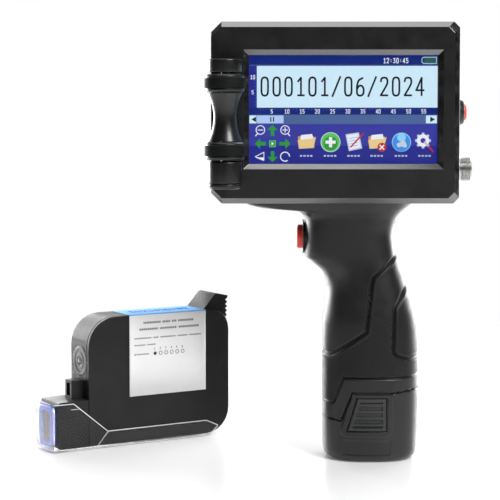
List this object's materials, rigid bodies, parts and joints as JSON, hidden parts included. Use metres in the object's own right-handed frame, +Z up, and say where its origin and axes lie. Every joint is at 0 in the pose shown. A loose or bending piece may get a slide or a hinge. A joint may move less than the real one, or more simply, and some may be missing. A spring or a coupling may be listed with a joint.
{
  "type": "handheld inkjet date coder",
  "caption": "Handheld date code inkjet printer with a touch screen head, encoder roller, pistol grip and slide-in battery, and its ink cartridge standing beside it.",
  "frame": {"origin": "centre of the battery's flat underside, on which the printer stands", "axes": "+Z up, -Y the screen side, -X the printing side"},
  "size_m": [0.2291, 0.1262, 0.225],
  "materials": {
    "black_plastic": "fine spark-eroded satin black moulding",
    "gloss_black": "smooth black",
    "grey_plastic": "satin dark grey",
    "black_rubber": "soft matt rubber",
    "ink_plastic": "satin charcoal moulding",
    "red_plastic": "glossy red",
    "steel": "brushed",
    "nickel": "nickel plated",
    "brass": "gold plated contacts",
    "touch_glass": "clear",
    "display": "lit panel",
    "circuit_board": "solder mask",
    "cell_wrap": "shrink wrapped cell",
    "ink_sponge": "foam",
    "label_paper": "printed film",
    "clear_plastic": "transparent",
    "seal_rubber": "soft blue"
  },
  "bodies": {
    "printer": {"head_front_shell": "black_plastic", "head_back_shell": "black_plastic", "print_face_plate": "steel", "touch_glass": "touch_glass", "lcd_panel": "display", "main_board": "circuit_board", "contact_board": "circuit_board", "head_screw_1": "steel", "head_screw_2": "steel", "head_screw_3": "steel", "head_screw_4": "steel", "power_button_bezel": "gloss_black", "socket_shell": "nickel", "socket_insert": "gloss_black", "socket_nut": "nickel", "roller_top_housing": "black_plastic", "roller_bottom_housing": "black_plastic", "encoder_cover": "black_plastic", "top_bearing": "steel", "bottom_bearing": "steel", "encoder_board": "circuit_board", "grip_front_half": "black_plastic", "grip_back_half": "black_plastic", "grip_screw_1": "steel", "grip_screw_2": "steel", "grip_screw_3": "steel", "grip_screw_4": "steel", "rubber_grip": "black_rubber", "palm_pad": "black_rubber", "trigger_bezel": "gloss_black", "trigger_switch": "gloss_black", "battery_dock": "grey_plastic"},
    "roller": {"roller_axle": "steel", "encoder_disc": "steel", "lower_wheel_hub": "gloss_black", "lower_tyre": "black_rubber", "upper_wheel_hub": "gloss_black", "upper_tyre": "black_rubber", "roller_spool": "gloss_black"},
    "trigger": {"trigger_button": "red_plastic"},
    "power": {"power_button": "red_plastic"},
    "latch": {"cartridge_latch": "grey_plastic"},
    "battery": {"battery_case": "black_plastic", "cell_1": "cell_wrap", "cell_2": "cell_wrap", "cell_3": "cell_wrap", "battery_lid": "black_plastic", "battery_terminals": "brass"},
    "front_latch": {"front_latch_button": "grey_plastic"},
    "back_latch": {"back_latch_button": "grey_plastic"},
    "cartridge": {"cartridge_body": "ink_plastic", "cartridge_lid": "ink_plastic", "ink_sponge": "ink_sponge", "contact_strip": "brass", "fill_plug": "grey_plastic", "fill_ball": "steel", "nozzle_plate": "brass", "cartridge_label": "label_paper"},
    "cap": {"nozzle_cap": "clear_plastic", "cap_seal": "seal_rubber"}
  },
  "joints": [
    {"name": "roller_spin", "type": "hinge", "parent": "printer", "child": "roller", "pos_m": [-0.0754, -0.0415, 0.1737], "axis": [0, 0, 1], "continuous": true},
    {"name": "trigger_press", "type": "slide", "parent": "printer", "child": "trigger", "axis": [1, 0, 0], "range_m": [0, 0.0025], "stiffness_N_per_m": 1200, "springref_m": -0.0005},
    {"name": "power_press", "type": "slide", "parent": "printer", "child": "power", "axis": [-1, 0, 0], "range_m": [0, 0.0015], "stiffness_N_per_m": 1500, "springref_m": -0.0005},
    {"name": "latch_slide", "type": "slide", "parent": "printer", "child": "latch", "axis": [-1, 0, 0], "range_m": [0, 0.007]},
    {"name": "battery_slide", "type": "slide", "parent": "printer", "child": "battery", "axis": [0, 0, -1], "range_m": [0, 0.06]},
    {"name": "front_latch_press", "type": "slide", "parent": "battery", "child": "front_latch", "axis": [0, 1, 0], "range_m": [0, 0.0015], "stiffness_N_per_m": 1500, "springref_m": -0.0005},
    {"name": "back_latch_press", "type": "slide", "parent": "battery", "child": "back_latch", "axis": [0, -1, 0], "range_m": [0, 0.0015], "stiffness_N_per_m": 1500, "springref_m": -0.0005},
    {"name": "cartridge_lift", "type": "slide", "parent": "printer", "child": "cartridge", "axis": [0, 0, 1], "range_m": [0, 0.1]},
    {"name": "cap_pull", "type": "slide", "parent": "cartridge", "child": "cap", "axis": [-0.8572, -0.515, 0], "range_m": [0, 0.03]}
  ]
}
